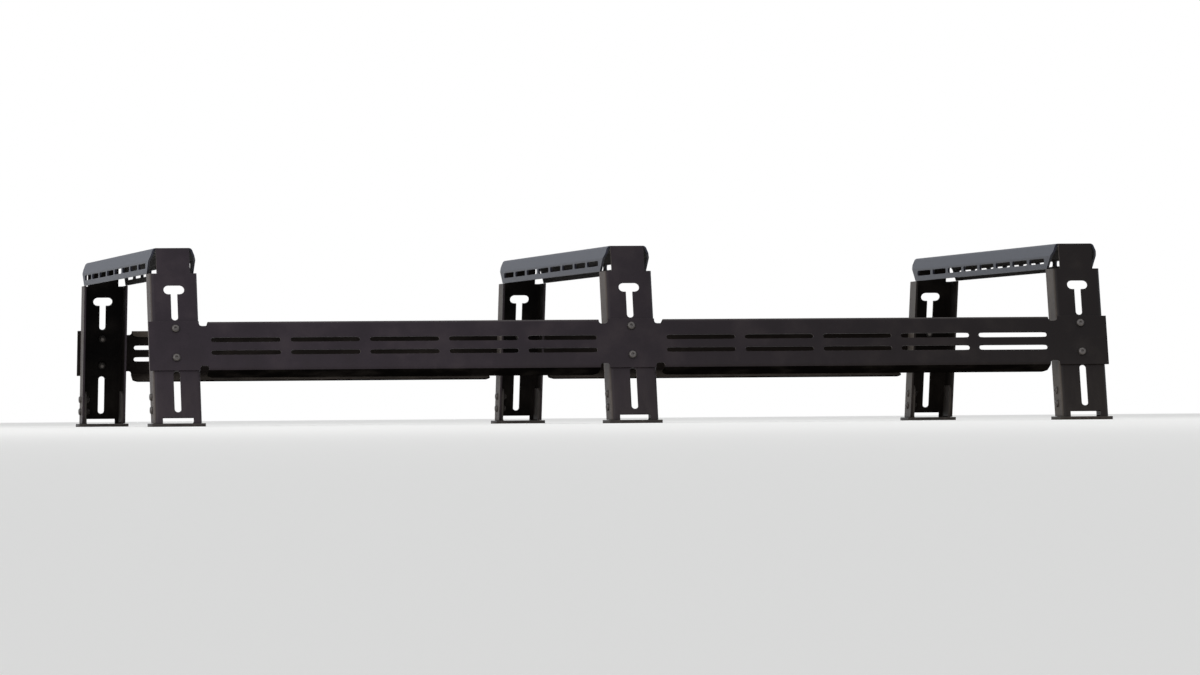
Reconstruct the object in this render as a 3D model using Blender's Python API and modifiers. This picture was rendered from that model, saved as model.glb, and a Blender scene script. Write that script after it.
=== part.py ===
"""Ladder rack for a pickup bed: three leaning hoops, two slotted side panels and six bolted feet.

Metres, +Z up, +X towards the tailgate, +Y towards the truck's right side.
The origin is in the middle of the rack, on the plane of the bed rails that its feet stand on.
"""

import math

import bmesh
import bpy
from mathutils import Matrix, Vector

# The whole rack, and the gap that touching pieces keep
RACK_HEIGHT = 0.325
BASE_WIDTH = 1.660
HOOP_PITCH = 0.835
LEAN = math.radians(16.5)
SEAT_GAP = 0.0003
SEAT_RELIEF = 0.0001
CUT_MARGIN = 0.010
WELD_DISTANCE = 0.00001
SHARP_EDGE = math.radians(30)

# Uprights: folded channels with a web facing outwards
UPRIGHT_WIDTH = 0.086
UPRIGHT_DEPTH = 0.075
UPRIGHT_WALL = 0.004
UPRIGHT_BEND = 0.008
BEND_STEPS = 3
TONGUE_WIDTH = 0.061
KEYHOLE_DROP = 0.068
KEYHOLE_HEAD_WIDTH = 0.038
KEYHOLE_HEAD_HEIGHT = 0.017
KEYHOLE_STEM_WIDTH = 0.012
KEYHOLE_PANEL_GAP = 0.003
LEG_SLOT_WIDTH = 0.012
LEG_SLOT_RISE = 0.020
TOE_WINDOW_WIDTH = 0.056
TOE_WINDOW_HEIGHT = 0.010

# Crossbars: hat-shaped channels, open below
CROSSBAR_TOP_WIDTH = 0.070
CROSSBAR_SHOULDER = 0.022
CROSSBAR_DEPTH = 0.046
CROSSBAR_WALL = 0.004
CROSSBAR_BEND = 0.007
CROSSBAR_RELIEF_RUN = 0.060
CROSSBAR_RELIEF_RISE = 0.032
CROSSBAR_SLOTS = 8
CROSSBAR_SLOT_WIDTH = 0.010
CROSSBAR_SLOT_DROP = 0.031
CROSSBAR_SLOT_BRIDGE = 0.024
CROSSBAR_SLOT_MARGIN = 0.070
TOP_SLOT_LENGTH = 0.060

# Side panels: shallow channels with their lips turned inwards between the hoops
PANEL_RISE = 0.101
PANEL_HEIGHT = 0.093
PANEL_WALL = 0.003
PANEL_BEND = 0.006
PANEL_LIP = 0.045
PANEL_OVERHANG = 0.006
NOTCH_WIDTH = 0.015
NOTCH_DEPTH = 0.009
NOTCH_CORNER = 0.005
LIP_SETBACK = 0.001
LIP_CHAMFER = 0.009
PANEL_SLOTS_PER_BAY = 5
PANEL_SLOT_WIDTH = 0.009
PANEL_SLOT_BRIDGE = 0.018
PANEL_SLOT_MARGIN = 0.021
PANEL_ROW_DROP = 0.0355
PANEL_ROW_PITCH = 0.024

# Feet: a base plate with two ears that stand inside the upright's flanges
FOOT_PLATE = 0.006
FOOT_CORNER = 0.006
FOOT_MARGIN = 0.006
FOOT_TOE = 0.010
FOOT_HEEL = 0.014
EAR_HEIGHT = 0.070
EAR_WALL = 0.004
EAR_CORNER = 0.008
EAR_WEB_GAP = 0.004
ANCHOR_SLOT_WIDTH = 0.011
ANCHOR_SLOT_LENGTH = 0.034
ANCHOR_SPACING = 0.036

# Bolts and nuts
PANEL_BOLT_DROP = 0.014
PANEL_BOLT_PITCH = 0.055
PANEL_BOLT_HEAD = 0.0072
PANEL_BOLT_HEAD_HEIGHT = 0.005
FOOT_BOLT_RISE = 0.030
FOOT_BOLT_PITCH = 0.024
FOOT_BOLT_INSET = 0.040
FOOT_BOLT_HEAD = 0.007
FOOT_BOLT_HEAD_HEIGHT = 0.0045
BOLT_CROWN_INSET = 0.0036
BOLT_RIM = 0.0015
SHANK_RADIUS = 0.004
HOLE_CLEARANCE = 0.0004
SHANK_TAIL = 0.002
NUT_RADIUS = 0.0075
NUT_HEIGHT = 0.0065
NUT_SIDES = 6
ROUND_SLOT_STEPS = 6
SLOT_STEPS = 4
HOLE_STEPS = 8
BOLT_STEPS = 10

# Heights and depths that follow from the sizes above
WEB = UPRIGHT_WALL / math.cos(LEAN)
TONGUE = WEB - SEAT_RELIEF
UPRIGHT_FOOT = FOOT_PLATE + SEAT_GAP
CROSSBAR_BOTTOM = RACK_HEIGHT - CROSSBAR_DEPTH
FLANGE_TOP = CROSSBAR_BOTTOM - SEAT_GAP
PANEL_LOW = PANEL_RISE / math.cos(LEAN)
PANEL_HIGH = PANEL_LOW + PANEL_HEIGHT
PANEL_FACE = -SEAT_GAP - PANEL_WALL
PANEL_BOLT_HEIGHTS = (PANEL_HIGH - PANEL_BOLT_DROP - PANEL_BOLT_PITCH, PANEL_HIGH - PANEL_BOLT_DROP)
FOOT_BOLT_HEIGHTS = (FOOT_BOLT_RISE, FOOT_BOLT_RISE + FOOT_BOLT_PITCH)
HOLE_RADIUS = SHANK_RADIUS + HOLE_CLEARANCE

# Views that an outline is drawn in: from the rack's end, from its side, square on to the web, and from above
FROM_END = Matrix(((0, 0, 1, 0), (1, 0, 0, 0), (0, 1, 0, 0), (0, 0, 0, 1)))
FROM_SIDE = Matrix.Rotation(math.pi / 2, 4, "X")
LEANING = Matrix.Rotation(-LEAN, 4, "X")
ON_WEB = LEANING @ FROM_SIDE
FROM_ABOVE = Matrix.Identity(4)
SLANTING = Matrix(((1, 0, 0, 0), (0, 1, math.tan(LEAN), 0), (0, 0, 1, 0), (0, 0, 0, 1)))

HOOPS = {"front": -HOOP_PITCH, "mid": 0.0, "rear": HOOP_PITCH}
SIDES = {"left": -BASE_WIDTH / 2, "right": BASE_WIDTH / 2}
LEVELS = ("lower", "upper")


def clear_scene():
    """Removes every object that the open file holds."""
    for old in list(bpy.data.objects):
        bpy.data.objects.remove(old, do_unlink=True)


def new_collection(name):
    """A collection of that name, linked to the scene."""
    collection = bpy.data.collections.new(name)
    bpy.context.scene.collection.children.link(collection)
    return collection


def finish(name, colour, roughness, metallic):
    """A plain surface with one colour, roughness and metallic value."""
    material = bpy.data.materials.new(name)
    material.use_nodes = True
    shader = material.node_tree.nodes["Principled BSDF"]
    shader.inputs["Base Color"].default_value = (*colour, 1)
    shader.inputs["Roughness"].default_value = roughness
    shader.inputs["Metallic"].default_value = metallic
    return material


def lean_at(height):
    """How far inwards the outer face of an upright has leaned at a height."""
    return height * math.tan(LEAN)


def box_outline(low_x, high_x, low_y, high_y):
    """A rectangle, anticlockwise."""
    return [(low_x, low_y), (high_x, low_y), (high_x, high_y), (low_x, high_y)]


def rounded(corners):
    """An outline whose corners, each an x, a y and a radius, are turned into arcs."""
    points = []
    for index, (x, y, radius) in enumerate(corners):
        corner = Vector((x, y))
        before = (Vector(corners[index - 1][:2]) - corner).normalized()
        after = (Vector(corners[(index + 1) % len(corners)][:2]) - corner).normalized()
        if not radius:
            points.append((x, y))
            continue
        opening = before.angle(after)
        middle = corner + (before + after).normalized() * radius / math.sin(opening / 2)
        first = corner + before * radius / math.tan(opening / 2) - middle
        last = corner + after * radius / math.tan(opening / 2) - middle
        swing = math.pi - opening
        for step in range(BEND_STEPS + 1):
            share = step / BEND_STEPS
            spoke = first * math.sin((1 - share) * swing) + last * math.sin(share * swing)
            points.append(tuple(middle + spoke / math.sin(swing)))
    return points


def circle_outline(centre, radius, steps):
    """A regular polygon of that many sides, anticlockwise."""
    turns = [2 * math.pi * step / steps for step in range(steps)]
    return [(centre[0] + radius * math.cos(turn), centre[1] + radius * math.sin(turn)) for turn in turns]


def slot_outline(centre, length, width, steps, upright=False):
    """A slot with round ends: two half circles of steps facets, joined by straight sides."""
    radius = width / 2
    reach = max(length / 2 - radius, 0)
    points = []
    for end, start in ((reach, -math.pi / 2), (-reach, math.pi / 2)):
        for step in range(steps + 1):
            turn = start + math.pi * step / steps
            points.append((end + radius * math.cos(turn), radius * math.sin(turn)))
    if upright:
        points = [(-y, x) for x, y in points]
    return [(centre[0] + x, centre[1] + y) for x, y in points]


def mesh_of(holder):
    """The evaluated mesh of an object, welded, with its faces pointing out."""
    bpy.context.view_layer.update()
    graph = bpy.context.evaluated_depsgraph_get()
    mesh = bpy.data.meshes.new_from_object(holder.evaluated_get(graph))
    shape = bmesh.new()
    shape.from_mesh(mesh)
    bmesh.ops.remove_doubles(shape, verts=shape.verts, dist=WELD_DISTANCE)
    bmesh.ops.recalc_face_normals(shape, faces=shape.faces)
    shape.to_mesh(mesh)
    shape.free()
    return mesh


def plate(name, outlines, low, high, view):
    """Flat outlines made into solids that reach from low to high along the view's own normal."""
    curve = bpy.data.curves.new(name, "CURVE")
    curve.dimensions = "2D"
    curve.fill_mode = "BOTH"
    curve.extrude = (high - low) / 2
    for outline in outlines:
        spline = curve.splines.new("POLY")
        spline.points.add(len(outline) - 1)
        for point, (x, y) in zip(spline.points, outline):
            point.co = (x, y, 0, 1)
        spline.use_cyclic_u = True
    holder = bpy.data.objects.new(name, curve)
    workshop.objects.link(holder)
    mesh = mesh_of(holder)
    bpy.data.objects.remove(holder)
    mesh.transform(view @ Matrix.Translation((0, 0, (low + high) / 2)))
    return mesh


def blank(name, mesh):
    """A working object in the workshop that pieces are cut from, or cut with."""
    worked = bpy.data.objects.new(name, mesh)
    worked.display_type = "WIRE"
    worked.hide_render = True
    workshop.objects.link(worked)
    return worked


def shaped(name, mesh, *steps):
    """The mesh after a row of Boolean steps, each an operation and the mesh it works with."""
    body = blank(name + "_blank", mesh)
    for operation, tool_mesh in steps:
        boolean = body.modifiers.new(operation.lower(), "BOOLEAN")
        boolean.operation = operation
        boolean.solver = "MANIFOLD"
        boolean.object = blank(name + "_" + operation.lower(), tool_mesh)
    return mesh_of(body)


def lathe(name, profile, steps, axis):
    """A closed turned solid: a profile of radius and height pairs, from top to bottom, turned about +Z."""
    mesh = bpy.data.meshes.new(name)
    points = [(radius, 0, height) for radius, height in profile]
    mesh.from_pydata(points, [(i, i + 1) for i in range(len(points) - 1)], [])
    turned = blank(name + "_profile", mesh)
    screw = turned.modifiers.new("turn", "SCREW")
    screw.axis = "Z"
    screw.steps = steps
    screw.render_steps = steps
    screw.use_merge_vertices = True
    screw.merge_threshold = WELD_DISTANCE
    solid = mesh_of(turned)
    solid.transform(axis)
    return solid


def mirrored(mesh):
    """The same shape for the other side of the truck, with its faces still pointing out."""
    shape = bmesh.new()
    shape.from_mesh(mesh)
    bmesh.ops.scale(shape, verts=shape.verts, vec=(1, -1, 1))
    bmesh.ops.reverse_faces(shape, faces=shape.faces)
    other = bpy.data.meshes.new(mesh.name + "_mirrored")
    shape.to_mesh(other)
    shape.free()
    return other


def place(name, mesh, spot, material):
    """A finished piece of the rack, with its own name, place and material."""
    piece = bpy.data.objects.new(name, mesh)
    piece.location = spot
    if not mesh.materials:
        mesh.materials.append(material)
    mesh.shade_smooth()
    mesh.set_sharp_from_angle(angle=SHARP_EDGE)
    rack.objects.link(piece)
    return piece


def upright_mesh():
    """An upright of the left side: web, two flanges that stop under the crossbar, and all its openings."""
    half = UPRIGHT_WIDTH / 2
    inner_half = half - UPRIGHT_WALL
    inner_bend = UPRIGHT_BEND - UPRIGHT_WALL
    # One level section, drawn from above, leans inwards over the whole height
    section = rounded([
        (-half, UPRIGHT_DEPTH, 0), (-half, 0, UPRIGHT_BEND),
        (half, 0, UPRIGHT_BEND), (half, UPRIGHT_DEPTH, 0),
        (inner_half, UPRIGHT_DEPTH, 0), (inner_half, WEB, inner_bend),
        (-inner_half, WEB, inner_bend), (-inner_half, UPRIGHT_DEPTH, 0),
    ])
    body = plate("upright", [section], UPRIGHT_FOOT, RACK_HEIGHT, FROM_ABOVE)
    body.transform(SLANTING)
    # Above the flanges only a tongue of the web is left, as the seat of the crossbar's end
    peak = RACK_HEIGHT + CUT_MARGIN
    flange_trim = [
        (lean_at(FLANGE_TOP) + TONGUE, FLANGE_TOP),
        (lean_at(peak) + UPRIGHT_DEPTH, FLANGE_TOP),
        (lean_at(peak) + UPRIGHT_DEPTH, peak),
        (lean_at(peak) + TONGUE, peak),
    ]
    trim = plate("upright_flange_trim", [flange_trim], -half - CUT_MARGIN, half + CUT_MARGIN, FROM_END)
    # The tongue is narrower than the crossbar, whose open end shows on both sides of it
    tongue_half = TONGUE_WIDTH / 2
    outside = half + CUT_MARGIN
    right_corner = box_outline(tongue_half, outside, FLANGE_TOP, peak)
    left_corner = box_outline(-outside, -tongue_half, FLANGE_TOP, peak)
    reach = lean_at(RACK_HEIGHT) + UPRIGHT_DEPTH + CUT_MARGIN
    corners = plate("upright_corners", [right_corner, left_corner], -reach, CUT_MARGIN, FROM_SIDE)
    # Openings through the web
    head_centre = (RACK_HEIGHT - KEYHOLE_DROP) / math.cos(LEAN) - KEYHOLE_HEAD_HEIGHT / 2
    stem_low = PANEL_HIGH + KEYHOLE_PANEL_GAP
    stem = slot_outline((0, (stem_low + head_centre) / 2), head_centre - stem_low, KEYHOLE_STEM_WIDTH,
                        ROUND_SLOT_STEPS, upright=True)
    head = slot_outline((0, head_centre), KEYHOLE_HEAD_WIDTH, KEYHOLE_HEAD_HEIGHT, ROUND_SLOT_STEPS)
    leg_low = (UPRIGHT_FOOT + LEG_SLOT_RISE) / math.cos(LEAN)
    leg_slot = slot_outline((0, (leg_low + PANEL_LOW) / 2), PANEL_LOW - leg_low, LEG_SLOT_WIDTH,
                            ROUND_SLOT_STEPS, upright=True)
    bolt_holes = [circle_outline((0, height), HOLE_RADIUS, HOLE_STEPS) for height in PANEL_BOLT_HEIGHTS]
    window = box_outline(-TOE_WINDOW_WIDTH / 2, TOE_WINDOW_WIDTH / 2, UPRIGHT_FOOT - CUT_MARGIN,
                         UPRIGHT_FOOT + TOE_WINDOW_HEIGHT)
    web_low = -UPRIGHT_WALL - CUT_MARGIN
    web_cuts = plate("upright_web_cuts", [stem, leg_slot, *bolt_holes], web_low, CUT_MARGIN, ON_WEB)
    head_cut = plate("upright_head_cut", [head], web_low, CUT_MARGIN, ON_WEB)
    window_depth = lean_at(UPRIGHT_FOOT + TOE_WINDOW_HEIGHT) + WEB + CUT_MARGIN
    window_cut = plate("upright_window", [window], -window_depth, CUT_MARGIN, FROM_SIDE)
    flange_holes = [
        circle_outline((lean_at(height) + FOOT_BOLT_INSET, height), HOLE_RADIUS, HOLE_STEPS)
        for height in FOOT_BOLT_HEIGHTS
    ]
    flange_cuts = plate("upright_flange_cuts", flange_holes, -half - CUT_MARGIN, CUT_MARGIN - half, FROM_END)
    return shaped(
        "upright", body,
        ("DIFFERENCE", trim), ("DIFFERENCE", corners), ("DIFFERENCE", web_cuts), ("DIFFERENCE", head_cut),
        ("DIFFERENCE", window_cut), ("DIFFERENCE", flange_cuts),
    )


def crossbar_mesh():
    """A crossbar: a hat-shaped channel between two leaning webs, with slots in its top and both flanges."""
    half = UPRIGHT_WIDTH / 2
    top_half = CROSSBAR_TOP_WIDTH / 2
    shoulder = RACK_HEIGHT - CROSSBAR_SHOULDER
    inner_bend = CROSSBAR_BEND - CROSSBAR_WALL
    outer = [
        (half, CROSSBAR_BOTTOM, 0),
        (half, shoulder, CROSSBAR_BEND),
        (top_half, RACK_HEIGHT, CROSSBAR_BEND),
    ]
    # The inner faces lie one wall in from the outer ones, so the inner corners come from the two slopes
    tilt = math.atan2(half - top_half, CROSSBAR_SHOULDER)
    inner_shoulder = shoulder - CROSSBAR_WALL * math.tan(tilt / 2)
    inner_top = top_half - CROSSBAR_WALL * math.tan(math.pi / 4 - tilt / 2)
    inner = [
        (inner_top, RACK_HEIGHT - CROSSBAR_WALL, inner_bend),
        (half - CROSSBAR_WALL, inner_shoulder, inner_bend),
        (half - CROSSBAR_WALL, CROSSBAR_BOTTOM, 0),
    ]
    section = outer + [(-x, z, bend) for x, z, bend in reversed(outer)]
    section += [(-x, z, bend) for x, z, bend in reversed(inner)] + inner
    bar = plate("crossbar", [rounded(section)], -BASE_WIDTH / 2, BASE_WIDTH / 2, FROM_SIDE)

    def reach(height):
        return BASE_WIDTH / 2 - lean_at(height) - TONGUE - SEAT_GAP / math.cos(LEAN)

    # Only the top of the bar meets the webs: its lower corners are cut off on a slant
    relief = CROSSBAR_BOTTOM + CROSSBAR_RELIEF_RISE
    relief_y = reach(CROSSBAR_BOTTOM) - CROSSBAR_RELIEF_RUN
    slant = (reach(relief) - relief_y) / CROSSBAR_RELIEF_RISE
    end = [
        (relief_y - slant * CUT_MARGIN, CROSSBAR_BOTTOM - CUT_MARGIN),
        (reach(relief), relief),
        (reach(RACK_HEIGHT + CUT_MARGIN), RACK_HEIGHT + CUT_MARGIN),
    ]
    side = end + [(-y, z) for y, z in reversed(end)]
    kept = plate("crossbar_length", [side], -half - CUT_MARGIN, half + CUT_MARGIN, FROM_END)
    span = 2 * (reach(RACK_HEIGHT) - CROSSBAR_SLOT_MARGIN)
    pitch = (span + CROSSBAR_SLOT_BRIDGE) / CROSSBAR_SLOTS
    row = [(slot - (CROSSBAR_SLOTS - 1) / 2) * pitch for slot in range(CROSSBAR_SLOTS)]
    slot_height = RACK_HEIGHT - CROSSBAR_SLOT_DROP
    flange_slots = [
        slot_outline((y, slot_height), pitch - CROSSBAR_SLOT_BRIDGE, CROSSBAR_SLOT_WIDTH, SLOT_STEPS)
        for y in row
    ]
    cut_half = half + CUT_MARGIN
    flange_cuts = plate("crossbar_flange_slots", flange_slots, -cut_half, cut_half, FROM_END)
    top_slots = [
        slot_outline((0, y), TOP_SLOT_LENGTH, CROSSBAR_SLOT_WIDTH, SLOT_STEPS, upright=True) for y in row
    ]
    top_low = RACK_HEIGHT - CROSSBAR_WALL - CUT_MARGIN
    top_cuts = plate("crossbar_top_slots", top_slots, top_low, RACK_HEIGHT + CUT_MARGIN, FROM_ABOVE)
    return shaped("crossbar", bar, ("INTERSECT", kept), ("DIFFERENCE", flange_cuts), ("DIFFERENCE", top_cuts))


def panel_mesh():
    """A side panel: a leaning channel, flat where it crosses the uprights, with two rows of slots a bay."""
    half_length = HOOP_PITCH + UPRIGHT_WIDTH / 2 + PANEL_OVERHANG
    lip_low = PANEL_LOW + PANEL_WALL
    lip_high = PANEL_HIGH - PANEL_WALL
    inner_bend = PANEL_BEND - PANEL_WALL
    section = rounded([
        (PANEL_FACE, PANEL_LOW, PANEL_BEND), (PANEL_LIP, PANEL_LOW, 0),
        (PANEL_LIP, lip_low, 0), (-SEAT_GAP, lip_low, inner_bend),
        (-SEAT_GAP, lip_high, inner_bend), (PANEL_LIP, lip_high, 0),
        (PANEL_LIP, PANEL_HIGH, 0), (PANEL_FACE, PANEL_HIGH, PANEL_BEND),
    ])
    body = plate("side_panel", [section], -half_length, half_length, LEANING @ FROM_END)
    # Beside each upright the lips stop short, with their free corners cut off
    clear = UPRIGHT_WIDTH / 2 + NOTCH_WIDTH
    lip_clear = clear + LIP_SETBACK
    lip_seat = -SEAT_GAP - SEAT_RELIEF
    lip_corner = PANEL_LIP - LIP_CHAMFER
    lip_past = PANEL_LIP + CUT_MARGIN
    lip_flare = lip_clear + LIP_CHAMFER + CUT_MARGIN
    cut_low = PANEL_LOW - CUT_MARGIN
    cut_high = PANEL_HIGH + CUT_MARGIN
    notch_low = PANEL_LOW + NOTCH_DEPTH
    notch_high = PANEL_HIGH - NOTCH_DEPTH
    lip_ends = []
    notches = []
    bolt_holes = []
    for x in HOOPS.values():
        lip_ends.append([
            (x - lip_clear, lip_seat), (x + lip_clear, lip_seat), (x + lip_clear, lip_corner),
            (x + lip_flare, lip_past), (x - lip_flare, lip_past), (x - lip_clear, lip_corner),
        ])
        for low, high in ((x - clear, x - UPRIGHT_WIDTH / 2), (x + UPRIGHT_WIDTH / 2, x + clear)):
            if low > -half_length + PANEL_OVERHANG and high < half_length - PANEL_OVERHANG:
                notches.append(rounded([
                    (low, cut_low, 0), (high, cut_low, 0),
                    (high, notch_low, NOTCH_CORNER), (low, notch_low, NOTCH_CORNER),
                ]))
                notches.append(rounded([
                    (low, notch_high, NOTCH_CORNER), (high, notch_high, NOTCH_CORNER),
                    (high, cut_high, 0), (low, cut_high, 0),
                ]))
        bolt_holes += [circle_outline((x, height), HOLE_RADIUS, HOLE_STEPS) for height in PANEL_BOLT_HEIGHTS]
    lip_cut = plate("panel_lip_ends", lip_ends, cut_low, cut_high, LEANING)
    slots = []
    bay = HOOP_PITCH - UPRIGHT_WIDTH - 2 * PANEL_SLOT_MARGIN
    pitch = (bay + PANEL_SLOT_BRIDGE) / PANEL_SLOTS_PER_BAY
    rows = (PANEL_HIGH - PANEL_ROW_DROP, PANEL_HIGH - PANEL_ROW_DROP - PANEL_ROW_PITCH)
    for bay_middle in (-HOOP_PITCH / 2, HOOP_PITCH / 2):
        for slot in range(PANEL_SLOTS_PER_BAY):
            x = bay_middle + (slot - (PANEL_SLOTS_PER_BAY - 1) / 2) * pitch
            length = pitch - PANEL_SLOT_BRIDGE
            slots += [slot_outline((x, row), length, PANEL_SLOT_WIDTH, SLOT_STEPS) for row in rows]
    face_outlines = notches + slots + bolt_holes
    face_cut = plate("panel_face_cuts", face_outlines, -CUT_MARGIN, CUT_MARGIN - PANEL_FACE, ON_WEB)
    return shaped("side_panel", body, ("DIFFERENCE", lip_cut), ("DIFFERENCE", face_cut))


def ear_x():
    """The outer face of a foot's ear, just inside the upright's flange."""
    return UPRIGHT_WIDTH / 2 - UPRIGHT_WALL - SEAT_GAP


def foot_mesh():
    """A foot of the left side: a slotted base plate with an ear inside each flange of the upright."""
    half = UPRIGHT_WIDTH / 2 + FOOT_MARGIN
    corners = box_outline(-half, half, -FOOT_TOE, UPRIGHT_DEPTH + FOOT_HEEL)
    base = plate("foot", [rounded([(x, y, FOOT_CORNER) for x, y in corners])], 0, FOOT_PLATE, FROM_ABOVE)
    inset = WEB + EAR_WEB_GAP
    # The ears are rooted half way down the plate, so that each weld is one piece with it
    root = FOOT_PLATE / 2
    ear = rounded([
        (lean_at(root) + inset, root, 0),
        (lean_at(root) + UPRIGHT_DEPTH, root, 0),
        (lean_at(EAR_HEIGHT) + UPRIGHT_DEPTH, EAR_HEIGHT, EAR_CORNER),
        (lean_at(EAR_HEIGHT) + inset, EAR_HEIGHT, EAR_CORNER),
    ])
    front_ear = plate("foot_ear", [ear], -ear_x(), -ear_x() + EAR_WALL, FROM_END)
    rear_ear = plate("foot_ear", [ear], ear_x() - EAR_WALL, ear_x(), FROM_END)
    middle = (inset + UPRIGHT_DEPTH) / 2
    anchors = [
        slot_outline((x, middle), ANCHOR_SLOT_LENGTH, ANCHOR_SLOT_WIDTH, ROUND_SLOT_STEPS, upright=True)
        for x in (-ANCHOR_SPACING / 2, ANCHOR_SPACING / 2)
    ]
    anchor_cuts = plate("foot_anchor_slots", anchors, -CUT_MARGIN, FOOT_PLATE + CUT_MARGIN, FROM_ABOVE)
    holes = [
        circle_outline((lean_at(height) + FOOT_BOLT_INSET, height), HOLE_RADIUS, HOLE_STEPS)
        for height in FOOT_BOLT_HEIGHTS
    ]
    ear_cuts = plate("foot_ear_holes", holes, -half - CUT_MARGIN, 0, FROM_END)
    # Two nuts are welded inside the front ear, half a wall deep so that the weld is one piece with it
    nuts = [
        circle_outline((lean_at(height) + FOOT_BOLT_INSET, height), NUT_RADIUS, NUT_SIDES)
        for height in FOOT_BOLT_HEIGHTS
    ]
    ear_face = EAR_WALL - ear_x()
    weld_nuts = plate("foot_weld_nuts", nuts, ear_face - EAR_WALL / 2, ear_face + NUT_HEIGHT, FROM_END)
    return shaped(
        "foot", base,
        ("UNION", front_ear), ("UNION", rear_ear), ("UNION", weld_nuts),
        ("DIFFERENCE", anchor_cuts), ("DIFFERENCE", ear_cuts),
    )


def bolt_mesh(name, head_radius, head_height, grip):
    """A button-headed bolt along +Z: its head stands above the face at zero, its shank reaches below it."""
    crown = head_radius - BOLT_CROWN_INSET
    length = grip + NUT_HEIGHT + 2 * SEAT_GAP + SHANK_TAIL
    profile = [
        (0, SEAT_GAP + head_height), (crown, SEAT_GAP + head_height), (head_radius, SEAT_GAP + BOLT_RIM),
        (head_radius, SEAT_GAP), (SHANK_RADIUS, SEAT_GAP), (SHANK_RADIUS, -length), (0, -length),
    ]
    return lathe(name, profile, BOLT_STEPS, FROM_ABOVE)


def nut_mesh():
    """A hexagon nut along +Z that stands on the plane at zero and clears the shank."""
    blank_nut = plate("nut", [circle_outline((0, 0), NUT_RADIUS, NUT_SIDES)], 0, NUT_HEIGHT, FROM_ABOVE)
    hole = circle_outline((0, 0), HOLE_RADIUS, HOLE_STEPS)
    bore = plate("nut_bore", [hole], -CUT_MARGIN, NUT_HEIGHT + CUT_MARGIN, FROM_ABOVE)
    return shaped("nut", blank_nut, ("DIFFERENCE", bore))


def square_to_web(depth, height):
    """A place on the left side, pointing straight out of the leaning web, at a depth in from its face."""
    return LEANING @ Matrix.Translation((0, depth, height)) @ Matrix.Rotation(math.pi / 2, 4, "X")


def out_of_flange(height):
    """A place on the left side, pointing forwards out of the upright's front flange."""
    spot = (-UPRIGHT_WIDTH / 2, lean_at(height) + FOOT_BOLT_INSET, height)
    return Matrix.Translation(spot) @ Matrix.Rotation(-math.pi / 2, 4, "Y")


def moved(mesh, matrix):
    """A copy of a mesh, moved to a place."""
    copy = mesh.copy()
    copy.transform(matrix)
    return copy


clear_scene()
rack = new_collection("ladder_rack")
workshop = new_collection("cutters")

black_coat = (0.022, 0.022, 0.024)
upright_coat = finish("upright_black_powder_coat", black_coat, 0.45, 0.0)
crossbar_coat = finish("crossbar_black_powder_coat", black_coat, 0.42, 0.0)
panel_coat = finish("panel_black_powder_coat", black_coat, 0.45, 0.0)
foot_coat = finish("foot_black_powder_coat", black_coat, 0.5, 0.0)
bolt_steel = finish("bolt_zinc_steel", (0.42, 0.40, 0.37), 0.4, 1.0)
nut_steel = finish("nut_zinc_steel", (0.36, 0.35, 0.33), 0.45, 1.0)

panel_grip = PANEL_WALL + SEAT_GAP + UPRIGHT_WALL
panel_bolt = bolt_mesh("panel_bolt", PANEL_BOLT_HEAD, PANEL_BOLT_HEAD_HEIGHT, panel_grip)
foot_grip = UPRIGHT_WALL + SEAT_GAP + EAR_WALL
foot_bolt = bolt_mesh("foot_bolt", FOOT_BOLT_HEAD, FOOT_BOLT_HEAD_HEIGHT, foot_grip)
nut = nut_mesh()
nut_depth = UPRIGHT_WALL + SEAT_GAP + NUT_HEIGHT

# Pieces that every hoop has once on each side, drawn for the left side of the middle hoop
pieces = {"upright": (upright_mesh(), upright_coat), "foot": (foot_mesh(), foot_coat)}
for level, height in zip(LEVELS, PANEL_BOLT_HEIGHTS):
    pieces[level + "_panel_bolt"] = (moved(panel_bolt, square_to_web(PANEL_FACE, height)), bolt_steel)
    pieces[level + "_panel_nut"] = (moved(nut, square_to_web(nut_depth, height)), nut_steel)
for level, height in zip(LEVELS, FOOT_BOLT_HEIGHTS):
    pieces[level + "_foot_bolt"] = (moved(foot_bolt, out_of_flange(height)), bolt_steel)
for piece_name, (piece_mesh, piece_material) in pieces.items():
    meshes = {"left": piece_mesh, "right": mirrored(piece_mesh)}
    for hoop_name, hoop_x in HOOPS.items():
        for side_name, side_y in SIDES.items():
            spot = (hoop_x, side_y, 0)
            place(f"{hoop_name}_{side_name}_{piece_name}", meshes[side_name], spot, piece_material)

# Pieces that span the rack
crossbar = crossbar_mesh()
for hoop_name, hoop_x in HOOPS.items():
    place(hoop_name + "_crossbar", crossbar, (hoop_x, 0, 0), crossbar_coat)
panel = panel_mesh()
place("left_side_panel", panel, (0, SIDES["left"], 0), panel_coat)
place("right_side_panel", mirrored(panel), (0, SIDES["right"], 0), panel_coat)
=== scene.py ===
"""Looks of the ladder rack: leaning hoops and slotted side panels of black powder-coated sheet steel."""

import math

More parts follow.
